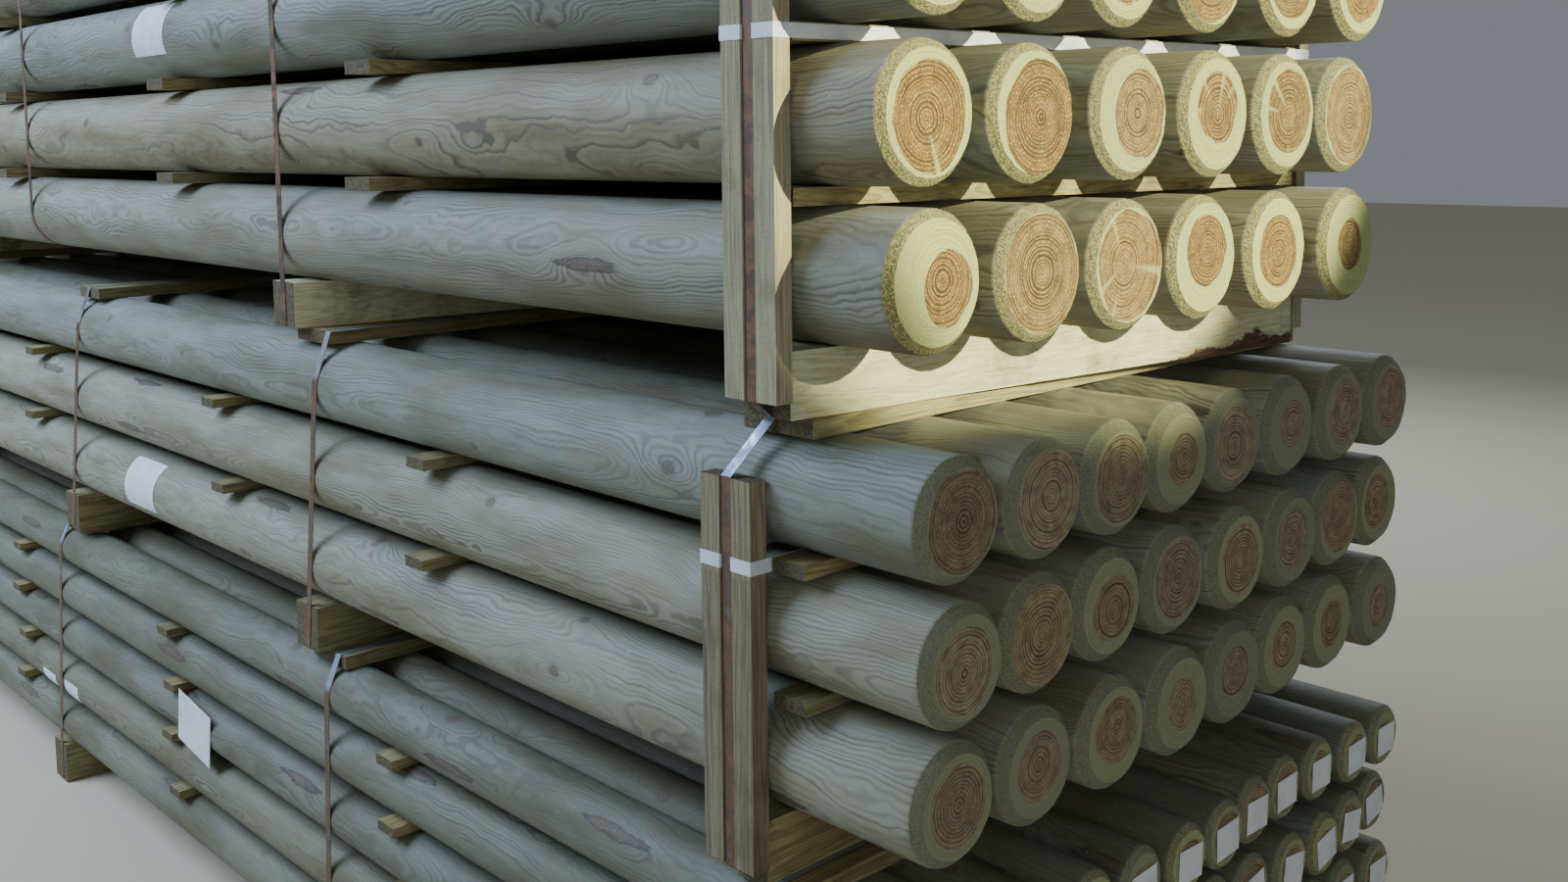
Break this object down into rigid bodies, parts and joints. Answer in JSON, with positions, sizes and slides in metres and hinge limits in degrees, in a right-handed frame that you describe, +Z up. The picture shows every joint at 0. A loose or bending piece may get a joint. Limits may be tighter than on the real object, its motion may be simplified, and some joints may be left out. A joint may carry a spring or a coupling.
{
  "type": "stack of logs",
  "caption": "Stack of machine-rounded logs in strapped packs, each on sawn bearers, with stickers between its layers, battens on top and boards up its sides.",
  "frame": {"origin": "centre of the stack's bounding box, at the height of the ground it rests on", "axes": "+X along the logs, towards the end whose log ends carry paper labels; -Y towards the side on which the packs are flush; +Z up"},
  "size_m": [4.0882, 1.1622, 1.956],
  "materials": {
    "log_wood": "greenish treated pine, turned smooth and weathered",
    "sawn_wood": "rough sawn pine, weathered",
    "strap_steel": "rusty brown strapping",
    "band_steel": "bright zinc",
    "paper": "matt white"
  },
  "bodies": {
    "root": {"cards": "paper", "end_labels": "paper", "lower_bands": "band_steel", "lower_battens": "sawn_wood", "lower_bearers": "sawn_wood", "lower_layer_1": "log_wood", "lower_layer_2": "log_wood", "lower_layer_3": "log_wood", "lower_layer_4": "log_wood", "lower_layer_5": "log_wood", "lower_stickers_1": "sawn_wood", "lower_stickers_2": "sawn_wood", "lower_stickers_3": "sawn_wood", "lower_stickers_4": "sawn_wood", "lower_straps": "strap_steel", "lower_uprights": "sawn_wood", "middle_bands": "band_steel", "middle_battens": "sawn_wood", "middle_bearers": "sawn_wood", "middle_layer_1": "log_wood", "middle_layer_2": "log_wood", "middle_layer_3": "log_wood", "middle_stickers_1": "sawn_wood", "middle_stickers_2": "sawn_wood", "middle_straps": "strap_steel", "middle_uprights": "sawn_wood", "upper_bands": "band_steel", "upper_battens": "sawn_wood", "upper_bearers": "sawn_wood", "upper_layer_1": "log_wood", "upper_layer_2": "log_wood", "upper_layer_3": "log_wood", "upper_layer_4": "log_wood", "upper_stickers_1": "sawn_wood", "upper_stickers_2": "sawn_wood", "upper_stickers_3": "sawn_wood", "upper_straps": "strap_steel", "upper_uprights": "sawn_wood"}
  },
  "joints": []
}
